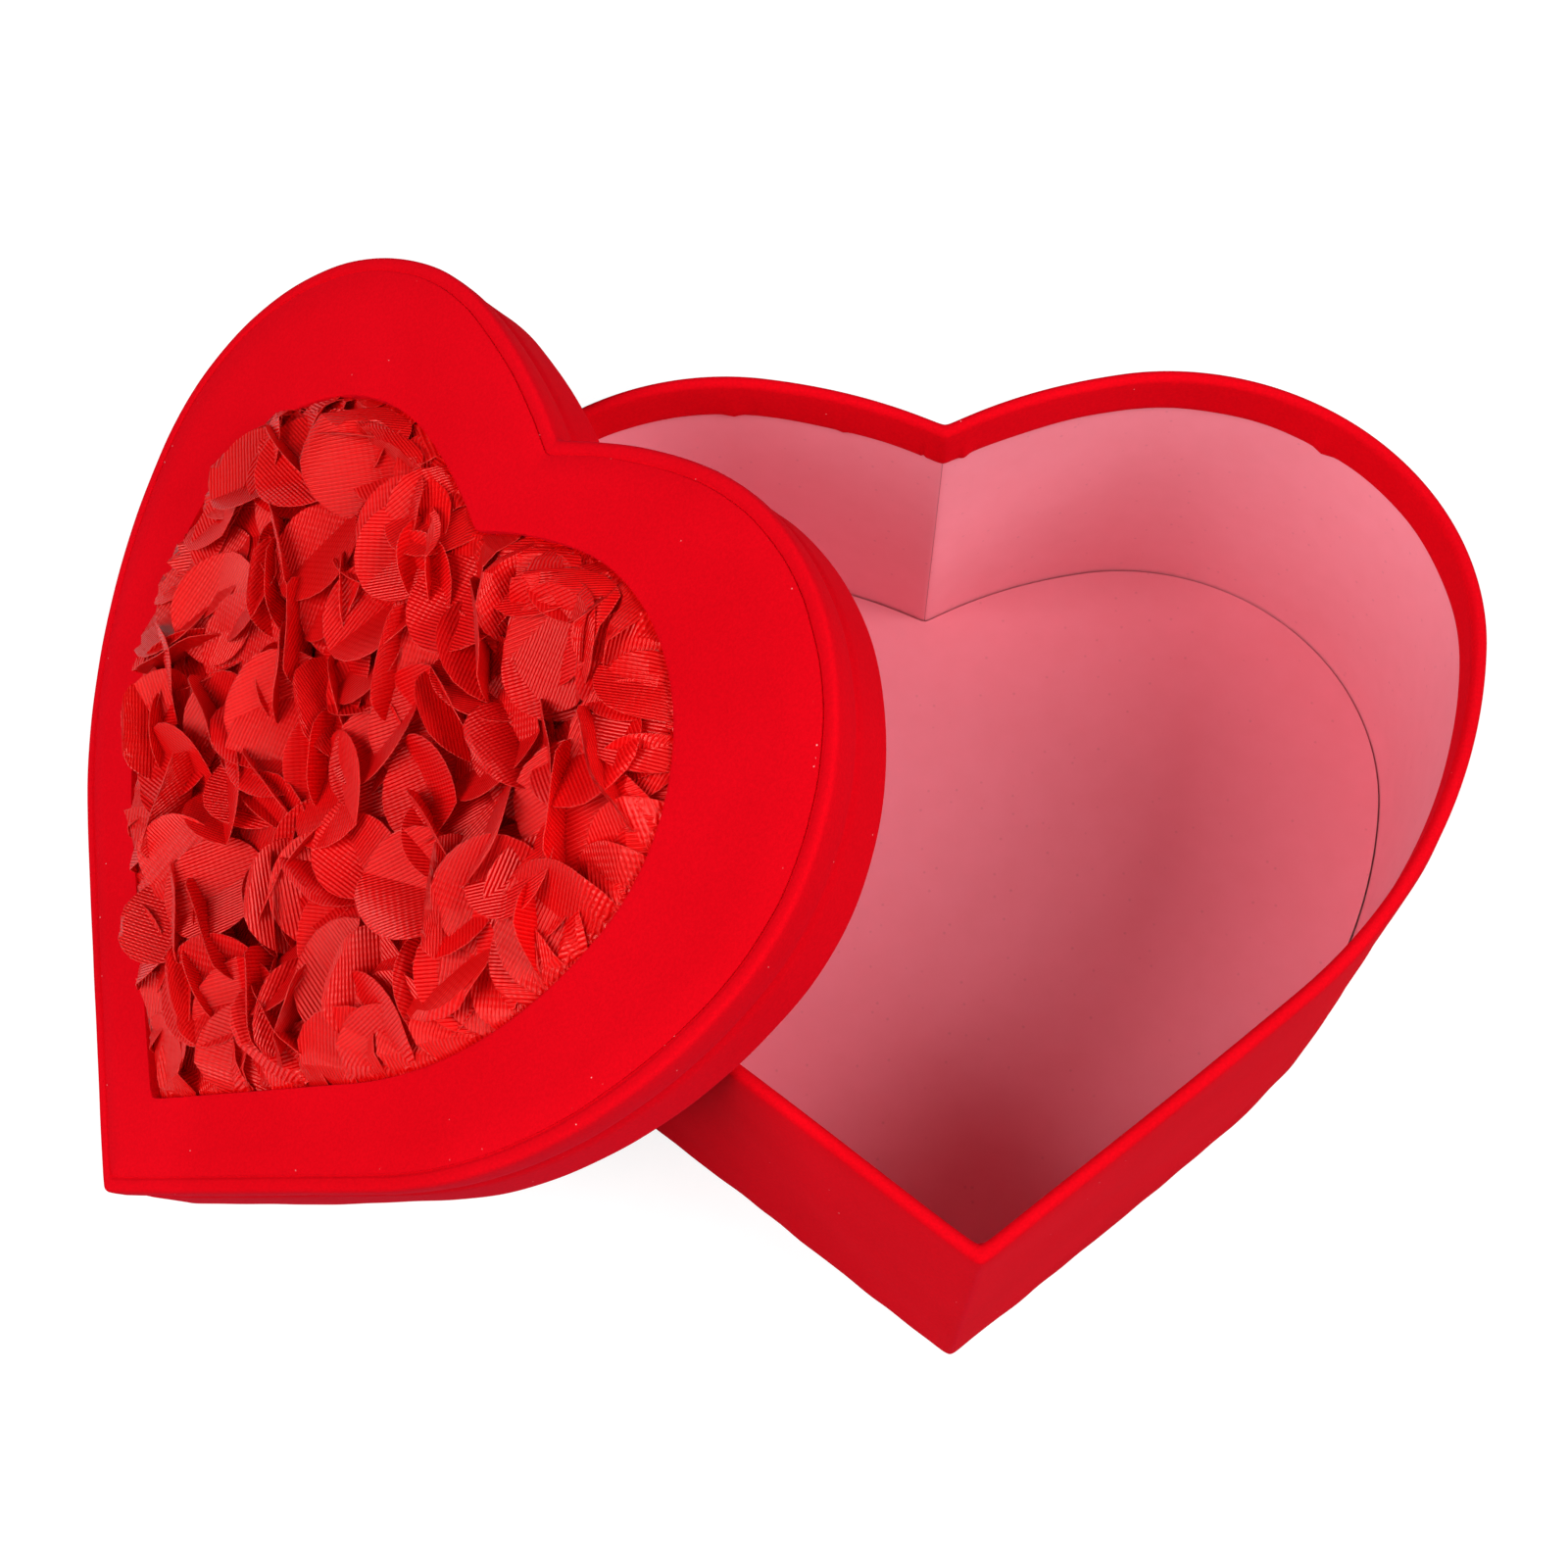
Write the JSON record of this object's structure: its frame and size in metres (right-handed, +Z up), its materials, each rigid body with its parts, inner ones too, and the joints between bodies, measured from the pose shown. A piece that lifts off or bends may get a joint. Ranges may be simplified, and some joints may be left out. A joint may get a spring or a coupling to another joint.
{
  "type": "heart-shaped gift box",
  "caption": "Heart-shaped velvet-covered paperboard gift box with pink lining and a lift-off lid that has a heart window of round taffeta petals, leaning on the box.",
  "frame": {"origin": "on the underside of the box, at the middle of the heart outline's width and length", "axes": "+Z up, +Y from the heart's tip towards its cleft, +X to the right of the heart"},
  "size_m": [0.3067, 0.2316, 0.1462],
  "materials": {
    "velvet": "short-pile flocked velvet, deep red with a soft sheen",
    "taffeta": "ribbed red taffeta with a satin sheen",
    "lining_paper": "matt pink lining paper",
    "board": "raw grey paperboard, hidden under the coverings",
    "tape": "brown gummed paper tape, hidden under the velvet",
    "cover_paper": "matt dark red cover paper"
  },
  "bodies": {
    "base": {"bottom_cover": "cover_paper", "floor_board": "board", "wall_board_left": "board", "wall_board_right": "board", "tip_tape": "tape", "cleft_tape": "tape", "wall_lining_left": "lining_paper", "wall_lining_right": "lining_paper", "floor_card": "lining_paper", "box_velvet": "velvet"},
    "lid": {"lid_top_board": "board", "lid_band_board_left": "board", "lid_band_board_right": "board", "lid_tip_tape": "tape", "lid_cleft_tape": "tape", "lid_lining_left": "lining_paper", "lid_lining_right": "lining_paper", "lid_backing_card": "lining_paper", "petal_ground": "taffeta", "lid_band_velvet": "velvet", "lid_top_sheet": "velvet", "petal_row_1": "taffeta", "petal_row_2": "taffeta", "petal_row_3": "taffeta", "petal_row_4": "taffeta"}
  },
  "joints": [
    {"name": "lid_lift", "type": "slide", "parent": "base", "child": "lid", "axis": [0, 0, 1], "range_m": [0, 0.15]}
  ]
}
